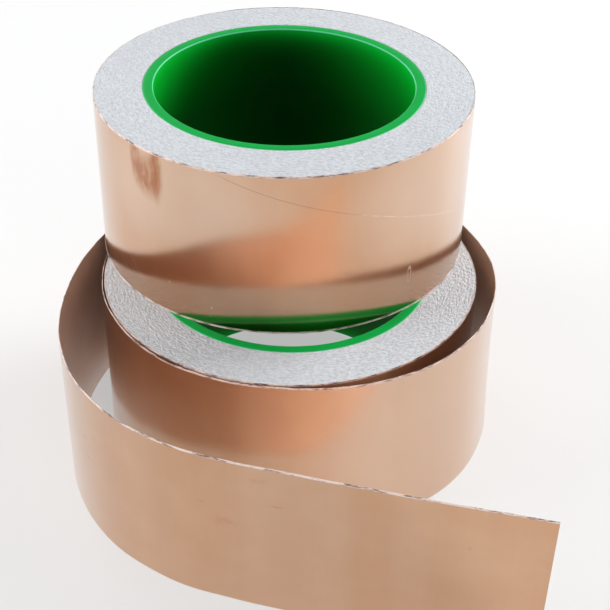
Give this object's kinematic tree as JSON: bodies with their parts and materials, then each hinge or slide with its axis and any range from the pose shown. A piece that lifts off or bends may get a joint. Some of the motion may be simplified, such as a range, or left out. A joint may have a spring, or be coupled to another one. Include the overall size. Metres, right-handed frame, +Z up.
{
  "type": "copper foil tape roll",
  "caption": "Wide copper foil tape on a plastic core: a closed roll lying on a second roll whose tape is drawn off in a loose upright loop and a flexing tail.",
  "frame": {"origin": "axis of the lower roll, at the surface that it lies on", "axes": "+Z up along the axes of both rolls, +X towards the drawn-off tape's free end, +Y from the lower roll towards the upper roll's offset"},
  "size_m": [0.1287, 0.1829, 0.1],
  "materials": {
    "copper_foil": "satin rolled copper",
    "adhesive": "clear tacky film on copper",
    "release_liner": "matt slit paper edge",
    "core_plastic": "gloss translucent green",
    "starter_tape": "clear tacky film"
  },
  "bodies": {
    "lower_roll": {"lower_core": "core_plastic", "lower_starter_strip": "starter_tape", "lower_foil": "copper_foil", "lower_adhesive": "adhesive", "lower_liner": "release_liner"},
    "upper_roll": {"upper_core": "core_plastic", "upper_starter_strip": "starter_tape", "upper_foil": "copper_foil", "upper_adhesive": "adhesive", "upper_liner": "release_liner"},
    "loose_wrap": {"loose_wrap_foil": "copper_foil", "loose_wrap_adhesive": "adhesive"},
    "tail_start": {"tail_start_foil": "copper_foil", "tail_start_adhesive": "adhesive"},
    "tail_curve": {"tail_curve_foil": "copper_foil", "tail_curve_adhesive": "adhesive"},
    "tail_end": {"tail_end_foil": "copper_foil", "tail_end_adhesive": "adhesive"}
  },
  "joints": [
    {"name": "upper_lift", "type": "slide", "parent": "lower_roll", "child": "upper_roll", "axis": [0, 0, 1], "range_m": [0, 0.06]},
    {"name": "roll_spin", "type": "hinge", "parent": "lower_roll", "child": "loose_wrap", "pos_m": [0, 0, 0], "axis": [0, 0, 1], "continuous": true},
    {"name": "tail_start_flex", "type": "hinge", "parent": "loose_wrap", "child": "tail_start", "pos_m": [-0.05042, 0.03198, 0], "axis": [0, 0, 1], "range_deg": [-30, 8]},
    {"name": "tail_curve_flex", "type": "hinge", "parent": "tail_start", "child": "tail_curve", "pos_m": [-0.06428, -0.03324, 0], "axis": [0, 0, 1], "range_deg": [-35, 10]},
    {"name": "tail_end_flex", "type": "hinge", "parent": "tail_curve", "child": "tail_end", "pos_m": [-0.02066, -0.08255, 0], "axis": [0, 0, 1], "range_deg": [-35, 20]}
  ]
}
